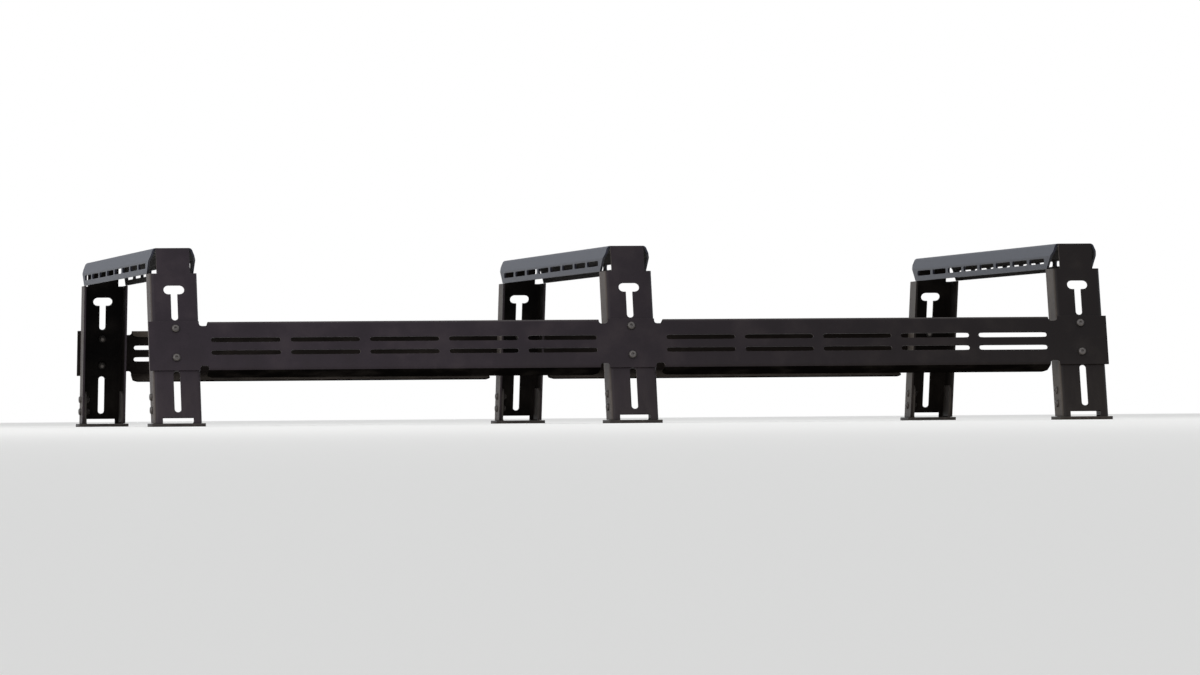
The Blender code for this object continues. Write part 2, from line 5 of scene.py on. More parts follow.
import bmesh
import bpy
import numpy as np
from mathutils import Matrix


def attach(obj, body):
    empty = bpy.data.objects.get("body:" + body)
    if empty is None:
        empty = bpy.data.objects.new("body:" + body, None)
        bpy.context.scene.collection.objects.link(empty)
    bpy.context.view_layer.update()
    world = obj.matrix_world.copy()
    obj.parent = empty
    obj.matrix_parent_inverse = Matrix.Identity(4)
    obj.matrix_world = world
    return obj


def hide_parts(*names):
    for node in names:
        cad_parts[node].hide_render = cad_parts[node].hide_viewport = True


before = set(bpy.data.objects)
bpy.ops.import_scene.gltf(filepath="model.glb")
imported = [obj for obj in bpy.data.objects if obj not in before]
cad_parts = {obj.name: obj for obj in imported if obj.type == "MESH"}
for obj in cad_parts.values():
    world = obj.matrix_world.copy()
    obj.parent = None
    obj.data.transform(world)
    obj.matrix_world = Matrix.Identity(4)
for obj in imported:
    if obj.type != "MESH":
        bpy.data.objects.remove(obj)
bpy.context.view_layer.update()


# Powder coat: a black, slightly pebbled polyester skin, baked onto every sheet part. Road dust settles on
# what faces up and gathers low down, rain has left faint streaks, and what faces forwards is lightened by
# dust and by painted light. A brownish painted shade darkens the coat towards the rear, and the insides are
# flatter and painted darker, as shade.
def new_group(name, inputs, outputs):
    """An empty shader group with its inputs, each a name and a number, and its outputs, each a name."""
    group = bpy.data.node_groups.new(name, "ShaderNodeTree")
    for socket, value in inputs:
        made = group.interface.new_socket(socket, in_out="INPUT", socket_type="NodeSocketFloat")
        made.default_value = value
    for socket in outputs:
        group.interface.new_socket(socket, in_out="OUTPUT", socket_type="NodeSocketFloat")
    return group, group.nodes.new("NodeGroupInput"), group.nodes.new("NodeGroupOutput")


def node(tree, kind, links=(), **settings):
    """A node of the tree with its settings; each link is a socket and either a value or a source socket."""
    made = tree.nodes.new(kind)
    for key, value in settings.items():
        setattr(made, key, value)
    for socket, source in links:
        target = made.inputs[socket]
        if isinstance(source, bpy.types.NodeSocket):
            tree.links.new(source, target)
        else:
            target.default_value = source
    return made


def remap(tree, value, low, high, to_low=0.0, to_high=1.0):
    """The value, carried smoothly from the range low to high onto another range."""
    links = (("Value", value), ("From Min", low), ("From Max", high), ("To Min", to_low), ("To Max", to_high))
    return node(tree, "ShaderNodeMapRange", links, interpolation_type="SMOOTHSTEP").outputs["Result"]


def math_node(tree, operation, *values):
    """One sum, product or other operation on two values, or a product and a sum on three."""
    return node(tree, "ShaderNodeMath", enumerate(values), operation=operation).outputs[0]


def mix_colour(tree, factor, first, second):
    """The colour that lies between two colours by a factor from 0 to 1."""
    links = (("Factor", factor), ("A", first), ("B", second))
    return node(tree, "ShaderNodeMix", links, data_type="RGBA").outputs["Result"]


def noise(tree, vector, scale, detail):
    """Noise from 0 to 1 at a scale in cycles per metre."""
    links = (("Vector", vector), ("Scale", scale), ("Detail", detail), ("Roughness", 0.55))
    return node(tree, "ShaderNodeTexNoise", links).outputs["Fac"]


# The dust mask is high where a face looks up or lies low, and is broken by blotches and streaks. Where a face
# looks forwards it is dust and painted light together; the rear output is painted shade
dust_light_and_shade_group, dust_light_and_shade_in, dust_light_and_shade_out = new_group(
    "road_dust_and_painted_light",
    (("Low Height", 0.0), ("High Height", 0.15), ("Low Dust", 0.5), ("Top Dust", 0.3), ("Front Dust And Light", 0.3)),
    ("Dust", "Blotch", "Rear Shade"),
)
place = node(dust_light_and_shade_group, "ShaderNodeTexCoord").outputs["Object"]
spot = node(dust_light_and_shade_group, "ShaderNodeSeparateXYZ", (("Vector", place),)).outputs
facing = node(dust_light_and_shade_group, "ShaderNodeNewGeometry").outputs["Normal"]
facing = node(dust_light_and_shade_group, "ShaderNodeSeparateXYZ", (("Vector", facing),)).outputs
blotch = noise(dust_light_and_shade_group, place, scale=17.0, detail=5.0)
drawn_out = node(dust_light_and_shade_group, "ShaderNodeMapping", (("Vector", place), ("Scale", (70.0, 70.0, 5.0))))
streak = noise(dust_light_and_shade_group, drawn_out.outputs["Vector"], scale=1.0, detail=3.0)
ragged = math_node(dust_light_and_shade_group, "MULTIPLY_ADD", blotch, 0.10, -0.05)
low = remap(dust_light_and_shade_group, math_node(dust_light_and_shade_group, "ADD", spot["Z"], ragged),
            dust_light_and_shade_in.outputs["High Height"], dust_light_and_shade_in.outputs["Low Height"])
low = math_node(dust_light_and_shade_group, "MULTIPLY", low, remap(dust_light_and_shade_group, streak, 0.3, 0.7, to_low=0.45))
low = math_node(dust_light_and_shade_group, "MULTIPLY", low, dust_light_and_shade_in.outputs["Low Dust"])
top = math_node(dust_light_and_shade_group, "MULTIPLY", remap(dust_light_and_shade_group, facing["Z"], 0.35, 0.95),
                remap(dust_light_and_shade_group, blotch, 0.3, 0.75, to_low=0.4))
top = math_node(dust_light_and_shade_group, "MULTIPLY", top, dust_light_and_shade_in.outputs["Top Dust"])
# Forward faces are lightened by dust and by painted light, which stands for the light from the front
front = math_node(dust_light_and_shade_group, "MULTIPLY", remap(dust_light_and_shade_group, facing["X"], -0.5, -0.95),
                  remap(dust_light_and_shade_group, blotch, 0.2, 0.7, to_low=0.4))
front = math_node(dust_light_and_shade_group, "MULTIPLY", front, dust_light_and_shade_in.outputs["Front Dust And Light"])
haze = math_node(dust_light_and_shade_group, "MULTIPLY", remap(dust_light_and_shade_group, blotch, 0.45, 0.8), 0.05)
dust = math_node(dust_light_and_shade_group, "MAXIMUM", math_node(dust_light_and_shade_group, "MAXIMUM", low, top),
                 math_node(dust_light_and_shade_group, "MAXIMUM", front, haze))
# Painted shade: the coat darkens from front to rear, standing for the rear lying further from the light
rear = remap(dust_light_and_shade_group, math_node(dust_light_and_shade_group, "ADD", spot["X"], ragged), -0.6, 1.0)
dust_light_and_shade_group.links.new(dust, dust_light_and_shade_out.inputs["Dust"])
dust_light_and_shade_group.links.new(blotch, dust_light_and_shade_out.inputs["Blotch"])
dust_light_and_shade_group.links.new(rear, dust_light_and_shade_out.inputs["Rear Shade"])

# The pebble of the coat: fine bumps of about a millimetre and a softer orange peel of about four
pebble_group, pebble_in, pebble_out = new_group("coat_pebble", (("Fineness", 1.0),), ("Height",))
place = node(pebble_group, "ShaderNodeTexCoord").outputs["Object"]
fineness = pebble_in.outputs["Fineness"]
fine = noise(pebble_group, place, scale=math_node(pebble_group, "MULTIPLY", fineness, 950.0), detail=2.0)
peel = noise(pebble_group, place, scale=math_node(pebble_group, "MULTIPLY", fineness, 240.0), detail=1.0)
pebble = math_node(pebble_group, "MULTIPLY_ADD", fine, 0.6, peel)
pebble_group.links.new(pebble, pebble_out.inputs["Height"])


def new_material(name):
    """A material with its node tree and the one shader in it."""
    material = bpy.data.materials.new(name)
    material.use_nodes = True
    return material, material.node_tree, material.node_tree.nodes["Principled BSDF"]


DRY_EARTH_AND_FRONT_LIGHT = (0.165, 0.140, 0.118, 1)


def powder_coat(name, dark, light, rear_shade, roughness, specular, low_dust, top_dust, front_dust_and_light):
    """Black coat in blotches of two near-black tones, under painted shade towards the rear and under dry
    earth where the dust mask is high, which on forward faces is dust and painted light together; dust adds to
    the roughness, and the pebble group gives the bump."""
    material, tree, shader = new_material(name)
    shader.inputs["Specular IOR Level"].default_value = specular
    amounts = (("Low Dust", low_dust), ("Top Dust", top_dust), ("Front Dust And Light", front_dust_and_light))
    dust_light_and_shade = node(tree, "ShaderNodeGroup", amounts, node_tree=dust_light_and_shade_group).outputs
    tone = mix_colour(tree, remap(tree, dust_light_and_shade["Blotch"], 0.3, 0.7), (*dark, 1), (*light, 1))
    rear_shaded = mix_colour(tree, dust_light_and_shade["Rear Shade"], tone, (*rear_shade, 1))
    tree.links.new(mix_colour(tree, dust_light_and_shade["Dust"], rear_shaded, DRY_EARTH_AND_FRONT_LIGHT), shader.inputs["Base Color"])
    dulled = math_node(tree, "MULTIPLY_ADD", dust_light_and_shade["Dust"], 0.35, roughness)
    tree.links.new(dulled, shader.inputs["Roughness"])
    pebbles = node(tree, "ShaderNodeGroup", node_tree=pebble_group).outputs["Height"]
    relief = node(tree, "ShaderNodeBump", (("Height", pebbles), ("Strength", 0.35), ("Distance", 0.0006)))
    tree.links.new(relief.outputs["Normal"], shader.inputs["Normal"])
    return material


# Outer coat: its forward faces are lightened strongly, by dust and by painted light
outer_coat = powder_coat(
    "outer_powder_coat", dark=(0.0185, 0.0132, 0.0172), light=(0.0255, 0.0182, 0.0238),
    rear_shade=(0.0062, 0.0036, 0.0028), roughness=0.46, specular=0.16,
    low_dust=0.09, top_dust=0.22, front_dust_and_light=0.56)
# Painted shade: the insides of the channels, and the welds, are painted near black and dull, as if always in
# shade
inner_shaded_coat = powder_coat(
    "inner_coat_painted_shade", dark=(0.0040, 0.0034, 0.0034), light=(0.0062, 0.0052, 0.0050),
    rear_shade=(0.0058, 0.0044, 0.0038), roughness=0.62, specular=0.03,
    low_dust=0.14, top_dust=0.16, front_dust_and_light=0.05)


# Uprights: six channels folded from 4 mm sheet, the web facing out and leaning in towards the load.
# A keyhole, a strap slot and a toe window are cut through each web; above the flanges a bare tongue is left.
LEAN = math.radians(16.5)
RAIL_Y = 0.830
HOOP_X = {"front": -0.835, "mid": 0.0, "rear": 0.835}
SIDE_WAY = {"left": 1.0, "right": -1.0}
WEB_HALF, TONGUE_HALF = 0.043, 0.0305
CHANNEL_DEPTH, CHANNEL_WALL, CHANNEL_BEND = 0.075, 0.004, 0.008
# Lengths up the web from the rail: its foot, the top of the toe window, the flanges' top and the tongue's top
FOOT_V, WINDOW_V, FLANGE_V, TOP_V = 0.006571, 0.017, 0.290669, 0.338958
STRAP_LOW, STRAP_HIGH, STRAP_RADIUS = 0.033429, 0.099338, 0.006
STEM_LOW, STEM_RADIUS = 0.207338, 0.006
HEAD_MIDDLE, HEAD_RADIUS, HEAD_REACH = 0.259538, 0.0085, 0.0105
BOLT_HOLE = 0.0044
PANEL_BOLT_V = (0.129338, 0.184338)
FOOT_BOLT_V = (0.031288, 0.056319)
FOOT_BOLT_DEPTH = 0.040
# Each cut has a box of the sheet to itself: its sides across the web, then its lower and upper end
CUT_HALF = 0.028
STRAP_BOX = (-CUT_HALF, CUT_HALF, 0.0200, 0.1120)
BOLT_BOXES = ((-CUT_HALF, CUT_HALF, 0.1180, 0.1410), (-CUT_HALF, CUT_HALF, 0.1720, 0.1970))
KEYHOLE_BOX = (-CUT_HALF, CUT_HALF, 0.1970, 0.2780)
KEYHOLE_SHOULDER = (0.2430, 0.2510)
FOOT_BOLT_BOX = (0.010, 0.0105)
FAR = 1.0
TOUCH = 1e-7


def lines(*marks, step):
    """Grid lines from the lowest mark to the highest: all marks, with the runs between divided evenly."""
    marks = np.unique(np.round(marks, 7))
    runs = [np.linspace(a, b, max(1, round((b - a) / step)) + 1)[:-1] for a, b in zip(marks, marks[1:])]
    return np.concatenate([*runs, marks[-1:]])


def around(spots, *reaches):
    """Each spot less each reach and plus each reach."""
    return np.add.outer(spots, np.concatenate((np.negative(reaches), reaches))).ravel()


def folded_line(corners, steps):
    """A sheet's outer line across its folds. Each corner is x, y and bend radius; a bend's points are its
    middle plus the radius along a spoke that swings evenly from one tangent point to the other."""
    corners = np.array(corners, float)
    points = [corners[:1, :2]]
    share = np.linspace(0, 1, steps + 1)[:, None]
    for back, corner, on in zip(corners, corners[1:], corners[2:]):
        before = (back - corner)[:2] / np.hypot(*(back - corner)[:2])
        after = (on - corner)[:2] / np.hypot(*(on - corner)[:2])
        opening = math.acos(before @ after)
        swing = math.pi - opening
        bisector = (before + after) / np.hypot(*(before + after))
        middle = corner[:2] + bisector * corner[2] / math.sin(opening / 2)
        first = corner[:2] + before * corner[2] / math.tan(opening / 2) - middle
        last = corner[:2] + after * corner[2] / math.tan(opening / 2) - middle
        spokes = np.sin((1 - share) * swing) * first + np.sin(share * swing) * last
        points.append(middle + spokes / math.sin(swing))
    return np.concatenate([*points, corners[-1:, :2]])


def lengths(line):
    """How far along a line each of its points lies: the running sum of its steps."""
    return np.concatenate(([0.0], np.cumsum(np.linalg.norm(np.diff(line, axis=0), axis=1))))


def border_of(u, v, box, open_side):
    """The grid points on a box's border, anticlockwise from its lower left, less one open side."""
    u0, u1, v0, v1 = box
    us = u[(u > u0 - TOUCH) & (u < u1 + TOUCH)]
    vs = v[(v > v0 - TOUCH) & (v < v1 + TOUCH)]
    bottom = np.column_stack((us, np.full(len(us), v0)))
    right = np.column_stack((np.full(len(vs), u1), vs))
    top = np.column_stack((us, np.full(len(us), v1)))[::-1]
    left = np.column_stack((np.full(len(vs), u0), vs))[::-1]
    if open_side == "top":
        return np.concatenate((left, bottom[1:], right[1:]))
    if open_side == "bottom":
        return np.concatenate((right, top[1:], left[1:]))
    return np.concatenate((bottom[:-1], right[:-1], top[:-1], left[:-1]))


def rounded_edge(u0, u1, v0, v1, radius):
    """A slot, round hole or rounded notch: each border point is drawn to the edge that lies one radius
    from the core box, straight out from the core's nearest point."""
    def edge(border):
        core = np.clip(border, (u0, v0), (u1, v1))
        way = border - core
        return core + radius * way / np.linalg.norm(way, axis=1, keepdims=True)
    return edge


def slot_cut(u, v, half_u, half_v, radius, box_u, box_v):
    """A round-ended slot or a round hole about a spot, by its half sizes and those of its box."""
    core_u = half_u - radius
    core_v = half_v - radius
    edge = rounded_edge(u - core_u, u + core_u, v - core_v, v + core_v, radius)
    return (u - box_u, u + box_u, v - box_v, v + box_v), edge, ""


def keyhole_edge(box):
    """A wide round-ended head on a narrow stem. Half its outline, from the foot of the stem to the top of the
    head, is matched by length to half the box's border."""
    quarter = np.linspace(-np.pi / 2, 0, 12)
    foot = STEM_RADIUS * np.column_stack((np.cos(quarter), np.sin(quarter))) + (0, STEM_LOW)
    half_turn = np.linspace(-np.pi / 2, np.pi / 2, 24)
    end = HEAD_RADIUS * np.column_stack((np.cos(half_turn), np.sin(half_turn))) + (HEAD_REACH, HEAD_MIDDLE)
    corner = ((STEM_RADIUS, HEAD_MIDDLE - HEAD_RADIUS),)
    crown = ((0, HEAD_MIDDLE + HEAD_RADIUS),)
    half = np.concatenate((foot, corner, end, crown))
    along = lengths(half)
    stem_start, stem_end, head_start = along[len(foot) - 1:len(foot) + 2]
    half_width = box[1]
    side_end = half_width + box[3] - box[2]
    shoulder = half_width + np.array(KEYHOLE_SHOULDER) - box[2]
    marks = (0, half_width, *shoulder, side_end, side_end + half_width)
    stops = (0, stem_start, stem_end, head_start, along[-2], along[-1])

    def edge(border):
        x = np.abs(border[:, 0])
        on_side = np.abs(x - half_width) < TOUCH
        on_top = np.abs(border[:, 1] - box[3]) < TOUCH
        up_side = half_width + border[:, 1] - box[2]
        run = np.where(on_top, side_end + half_width - x, np.where(on_side, up_side, x))
        spot = np.interp(run, marks, stops)
        across = np.sign(np.round(border[:, 0], 7)) * np.interp(spot, along, half[:, 0])
        return np.column_stack((across, np.interp(spot, along, half[:, 1])))
    return edge


def pierced_sheet(u, v, gaps, cuts):
    """A flat sheet over the grid lines u and v, less its gaps. Each cut lies in a box of its own, less the
    grid's cells; one ring of faces joins the box's border points to their points on the cut's edge."""
    kept = np.ones((len(u) - 1, len(v) - 1), bool)
    mid_u = (u[1:] + u[:-1]) / 2
    mid_v = (v[1:] + v[:-1]) / 2
    for u0, u1, v0, v1 in [*gaps, *(cut[0] for cut in cuts)]:
        kept &= ~np.outer((mid_u > u0) & (mid_u < u1), (mid_v > v0) & (mid_v < v1))
    number = np.arange(len(u) * len(v)).reshape(len(u), len(v))
    quads = np.stack((number[:-1, :-1], number[1:, :-1], number[1:, 1:], number[:-1, 1:]), -1)[kept]
    points = [np.stack(np.meshgrid(u, v, indexing="ij"), -1).reshape(-1, 2)]
    faces = [quads]
    count = len(u) * len(v)
    for box, edge, open_side in cuts:
        border = border_of(u, v, box, open_side)
        points += [edge(border), border]
        inner = count + np.arange(len(border))
        outer = inner + len(border)
        ring = np.stack((inner, outer, np.roll(outer, -1), np.roll(inner, -1)), -1)
        faces.append(ring[:-1] if open_side else ring)
        count += 2 * len(border)
    faces = np.concatenate(faces)
    used, renumbered = np.unique(faces, return_inverse=True)
    return np.concatenate(points)[used], renumbered.reshape(faces.shape)


def merge_points(mesh, distance=2e-6):
    """The mesh with its points that lie within a distance of each other made one."""
    skin = bmesh.new()
    skin.from_mesh(mesh)
    bmesh.ops.remove_doubles(skin, verts=skin.verts, dist=distance)
    skin.to_mesh(mesh)
    skin.free()


def fixed_piece(name, mesh, stands_for=None):
    """A piece of the rack, its place in its mesh, that stands for a plain solid if it is given one."""
    piece = bpy.data.objects.new(name, mesh)
    bpy.context.scene.collection.objects.link(piece)
    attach(piece, "root")
    if stands_for:
        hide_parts(stands_for)
    return piece


def ease_edges(piece, width, least_turn):
    """A narrow round along every edge where the faces turn by more than an angle in degrees."""
    eased = piece.modifiers.new("eased_edges", "BEVEL")
    eased.width = width
    eased.segments = 2
    eased.limit_method = "ANGLE"
    eased.angle_limit = math.radians(least_turn)
    eased.use_clamp_overlap = False
    eased.harden_normals = True
    return eased


def sheet_piece(name, points, faces, wall, mirrored, stands_for, coats, patches=None):
    """A piece of sheet: its outer face merged into one skin, given its wall inwards, its cut edges eased.
    The coats come in pairs for the outside and the inside, and patches gives each face its pair."""
    mesh = bpy.data.meshes.new(name)
    mesh.from_pydata(points.tolist(), [], (faces[:, ::-1] if mirrored else faces).tolist())
    for coat in coats:
        mesh.materials.append(coat)
    if patches is not None:
        mesh.polygons.foreach_set("material_index", 2 * patches)
    merge_points(mesh)
    mesh.shade_smooth()
    piece = fixed_piece(name, mesh, stands_for)
    thick = piece.modifiers.new("wall", "SOLIDIFY")
    thick.thickness = wall
    thick.offset = -1
    thick.use_even_offset = True
    thick.material_offset = 1
    ease_edges(piece, width=0.0005, least_turn=50).loop_slide = False


section = folded_line(((-WEB_HALF, CHANNEL_DEPTH, 0), (-WEB_HALF, 0, CHANNEL_BEND),
                       (WEB_HALF, 0, CHANNEL_BEND), (WEB_HALF, CHANNEL_DEPTH, 0)), steps=8)
half_girth = lengths(section)[-1] / 2
across = lengths(section) - half_girth
foot_bolt_u = CHANNEL_DEPTH - FOOT_BOLT_DEPTH - half_girth
u = lines(*across, *around((0,), CUT_HALF, TONGUE_HALF), *around((foot_bolt_u,), FOOT_BOLT_BOX[0]),
          step=0.0045)
ends = [end for box in (STRAP_BOX, KEYHOLE_BOX, *BOLT_BOXES) for end in box[2:]]
v = lines(FOOT_V, WINDOW_V, FLANGE_V, TOP_V, *KEYHOLE_SHOULDER, *ends,
          *around(FOOT_BOLT_V, FOOT_BOLT_BOX[1]), step=0.004)
gaps = [(-CUT_HALF, CUT_HALF, 0, WINDOW_V)]
gaps += [(-FAR, -TONGUE_HALF, FLANGE_V, FAR), (TONGUE_HALF, FAR, FLANGE_V, FAR)]
cuts = [(STRAP_BOX, rounded_edge(0, 0, STRAP_LOW, STRAP_HIGH, STRAP_RADIUS), "")]
cuts += [(KEYHOLE_BOX, keyhole_edge(KEYHOLE_BOX), "")]
cuts += [(box, rounded_edge(0, 0, bolt, bolt, BOLT_HOLE), "") for box, bolt in zip(BOLT_BOXES, PANEL_BOLT_V)]
cuts += [slot_cut(foot_bolt_u, bolt, BOLT_HOLE, BOLT_HOLE, BOLT_HOLE, *FOOT_BOLT_BOX)
         for bolt in FOOT_BOLT_V]
flat, faces = pierced_sheet(u, v, gaps, cuts)
girth, up = flat.T
x = np.interp(girth, across, section[:, 0])
y = np.interp(girth, across, section[:, 1])
upright = np.column_stack((x, y + up * math.sin(LEAN) - RAIL_Y, up * math.cos(LEAN)))
for hoop, hoop_x in HOOP_X.items():
    for side, way in SIDE_WAY.items():
        points = upright * (1, way, 1) + (hoop_x, 0, 0)
        sheet_piece(f"{hoop}_{side}_folded_upright", points, faces, CHANNEL_WALL, way < 0,
                    f"{hoop}_{side}_upright", (outer_coat, inner_shaded_coat))


# Crossbars: three hat-shaped channels of 4 mm sheet, open below, with slots in the top and both flanges.
# Their ends are cut to the lean of the uprights and welded to the tongues; the lower corners are cut off.
BAR_BOTTOM, BAR_SHOULDER, BAR_TOP = 0.279, 0.303, 0.325
BAR_TOP_HALF, BAR_WALL, BAR_BEND = 0.035, 0.004, 0.007
BAR_END, TONGUE_SEAT = 0.729346, 0.004385
RELIEF_RUN, RELIEF_TOP = 0.060, 0.311
SLOT_COUNT, SLOT_PITCH, SLOT_RADIUS = 8, 0.167836, 0.005
FLANGE_SLOT_Z, FLANGE_SLOT_HALF, TOP_SLOT_HALF = 0.294, 0.071918, 0.030
FLANGE_SLOT_BOX, TOP_SLOT_BOX, SLOT_MARGIN = 0.0075, 0.013, 0.008
# Painted reflection: the crossbars' coat is tinted blue, standing for the cool sky light that they catch
bar_sky_tinted_coat = powder_coat(
    "bar_coat_painted_sky", dark=(0.0100, 0.0104, 0.0190), light=(0.0150, 0.0156, 0.0265),
    rear_shade=(0.0066, 0.0070, 0.0150), roughness=0.45, specular=0.26,
    low_dust=0.0, top_dust=0.16, front_dust_and_light=0.04)
half_section = [(WEB_HALF, BAR_BOTTOM, 0), (WEB_HALF, BAR_SHOULDER, BAR_BEND)]
half_section += [(BAR_TOP_HALF, BAR_TOP, BAR_BEND)]
section = folded_line([(-x, z, bend) for x, z, bend in half_section] + half_section[::-1], steps=7)
half_girth = lengths(section)[-1] / 2
across = lengths(section) - half_girth
flange_slot_u = half_girth - (FLANGE_SLOT_Z - BAR_BOTTOM)
right_half = across > 0
relief_u = np.interp(RELIEF_TOP, section[right_half, 1][::-1], across[right_half][::-1])
slot_rows = (np.arange(SLOT_COUNT) - (SLOT_COUNT - 1) / 2) * SLOT_PITCH
flange_slots = (-flange_slot_u, flange_slot_u)
u = lines(*across, *around((0,), TOP_SLOT_BOX, relief_u), *around(flange_slots, FLANGE_SLOT_BOX), step=0.004)
flange_box_v = FLANGE_SLOT_HALF + SLOT_MARGIN
top_box_v = TOP_SLOT_HALF + SLOT_MARGIN
v = lines(-BAR_END, BAR_END, *around(slot_rows, flange_box_v, FLANGE_SLOT_HALF, top_box_v), step=0.011)
cuts = []
for row in slot_rows:
    cuts += [slot_cut(slot_u, row, SLOT_RADIUS, FLANGE_SLOT_HALF, SLOT_RADIUS, FLANGE_SLOT_BOX, flange_box_v)
             for slot_u in flange_slots]
    cuts.append(slot_cut(0, row, SLOT_RADIUS, TOP_SLOT_HALF, SLOT_RADIUS, TOP_SLOT_BOX, top_box_v))
flat, faces = pierced_sheet(u, v, [], cuts)
girth, run = flat.T
x = np.interp(girth, across, section[:, 0])
z = np.interp(girth, across, section[:, 1])


def bar_reach(z):
    """How far from the middle a crossbar goes at a height: to the leaning tongue, or below the relief's top
    to the slanting cut, which gains the relief's run on the tongue by the bar's lower edge."""
    to_tongue = RAIL_Y - z * math.tan(LEAN) - TONGUE_SEAT
    return to_tongue - RELIEF_RUN * np.clip((RELIEF_TOP - z) / (RELIEF_TOP - BAR_BOTTOM), 0, None)


# Past the last slots the grid is drawn in or out, so that its end rows lie on the slanting ends
slots_end = slot_rows[-1] + flange_box_v
past = np.clip((np.abs(run) - slots_end) / (BAR_END - slots_end), 0, 1)
y = np.sign(run) * (np.minimum(np.abs(run), slots_end) + past * (bar_reach(z) - slots_end))
crossbar = np.column_stack((x, y, z))
for hoop, hoop_x in HOOP_X.items():
    sheet_piece(f"{hoop}_folded_crossbar", crossbar + (hoop_x, 0, 0), faces, BAR_WALL, False,
                f"{hoop}_crossbar", (bar_sky_tinted_coat, inner_shaded_coat))


# Side panels: two long channels of 3 mm sheet bolted outside the uprights, with deep lips turned inwards.
# Two rows of five slots are cut in each bay; beside the uprights the sheet is notched and its lips stop.
PANEL_LOW, PANEL_HIGH, PANEL_END = 0.105338, 0.198338, 0.884
PANEL_FACE, PANEL_WALL, PANEL_BEND = -0.0033, 0.003, 0.006
PANEL_BOLT_BOX = (0.015, 0.010)
LIP, LIP_GAP, LIP_CHAMFER = 0.045, 0.059, 0.009
NOTCH_START, NOTCH_DEPTH, NOTCH_CORNER, NOTCH_RIM = 0.043, 0.009, 0.005, 0.0035
BAY_MIDDLE, BAY_SLOT_PITCH, BAY_SLOT_V = 0.4175, 0.145, (0.162838, 0.138838)
BAY_SLOT_HALF, BAY_SLOT_RADIUS = 0.0635, 0.0045
BAY_SLOT_BOX = (BAY_SLOT_HALF + SLOT_MARGIN, 0.0105)
# Painted shade: the lips' outer faces are painted near black and without shine, as if in shade; the upper
# lip's top still takes dust
lip_shaded_coat = powder_coat(
    "lip_coat_painted_shade", dark=(0.0022, 0.0018, 0.0017), light=(0.0040, 0.0034, 0.0031),
    rear_shade=(0.0026, 0.0020, 0.0017), roughness=0.7, specular=0.0,
    low_dust=0.0, top_dust=0.42, front_dust_and_light=0.05)
# Painted shade: the panels' backs are painted darker and duller than their faces, as if in shade
back_shaded_coat = powder_coat(
    "panel_back_coat_painted_shade", dark=(0.0120, 0.0098, 0.0090), light=(0.0200, 0.0165, 0.0150),
    rear_shade=(0.0090, 0.0066, 0.0056), roughness=0.66, specular=0.03,
    low_dust=0.0, top_dust=0.30, front_dust_and_light=0.05)
section = folded_line(((LIP, PANEL_LOW, 0), (PANEL_FACE, PANEL_LOW, PANEL_BEND),
                       (PANEL_FACE, PANEL_HIGH, PANEL_BEND), (LIP, PANEL_HIGH, 0)), steps=7)
across = lengths(section) - lengths(section)[-1] / 2
middle_v = (PANEL_LOW + PANEL_HIGH) / 2
face_half = (PANEL_HIGH - PANEL_LOW) / 2
hoops = np.array(list(HOOP_X.values()))
slot_x = [bay * BAY_MIDDLE + step * BAY_SLOT_PITCH for bay in (-1, 1) for step in range(-2, 3)]
slot_rows = np.array(BAY_SLOT_V) - middle_v
bolt_rows = np.array(PANEL_BOLT_V) - middle_v
notch_half = (LIP_GAP - NOTCH_START) / 2
notch_line = face_half - NOTCH_DEPTH
notch_x = around(hoops, NOTCH_START + notch_half)
notch_x = notch_x[np.abs(notch_x) < PANEL_END]
marks = np.concatenate((
    around(slot_x, BAY_SLOT_BOX[0], BAY_SLOT_HALF), around(hoops, PANEL_BOLT_BOX[0], LIP_GAP),
    around(notch_x, notch_half + NOTCH_RIM, notch_half, notch_half - NOTCH_CORNER)))
u = lines(-PANEL_END, PANEL_END, *marks[np.abs(marks) < PANEL_END], step=0.010)
v = lines(*across, *around(slot_rows, BAY_SLOT_BOX[1]), *around(bolt_rows, PANEL_BOLT_BOX[1]),
          *around((0,), notch_line - NOTCH_RIM, notch_line + NOTCH_CORNER, face_half), step=0.005)
gaps = [(hoop - LIP_GAP, hoop + LIP_GAP, face_half, FAR) for hoop in hoops]
gaps += [(hoop - LIP_GAP, hoop + LIP_GAP, -FAR, -face_half) for hoop in hoops]
cuts = [slot_cut(spot, row, BAY_SLOT_HALF, BAY_SLOT_RADIUS, BAY_SLOT_RADIUS, *BAY_SLOT_BOX)
        for spot in slot_x for row in slot_rows]
cuts += [slot_cut(hoop, row, BOLT_HOLE, BOLT_HOLE, BOLT_HOLE, *PANEL_BOLT_BOX)
         for hoop in hoops for row in bolt_rows]
for spot in notch_x:
    core = (spot - notch_half + NOTCH_CORNER, spot + notch_half - NOTCH_CORNER)
    rim = (spot - notch_half - NOTCH_RIM, spot + notch_half + NOTCH_RIM)
    cuts.append(((*rim, notch_line - NOTCH_RIM, face_half),
                 rounded_edge(*core, notch_line + NOTCH_CORNER, FAR, NOTCH_CORNER), "top"))
    cuts.append(((*rim, -face_half, NOTCH_RIM - notch_line),
                 rounded_edge(*core, -FAR, -notch_line - NOTCH_CORNER, NOTCH_CORNER), "bottom"))
flat, faces = pierced_sheet(u, v, gaps, cuts)
x, girth = flat.T
# Up to a hair's breadth from where the lips end, the sheet is flat to its edge; past it, it follows its folds
HAIR = 0.0005
nearest = hoops[np.argmin(np.abs(x[:, None] - hoops), axis=1)]
at_upright = np.abs(x - nearest) < LIP_GAP - HAIR
depth = np.where(at_upright, PANEL_FACE, np.interp(girth, across, section[:, 0]))
rise = np.where(at_upright, middle_v + girth, np.interp(girth, across, section[:, 1]))
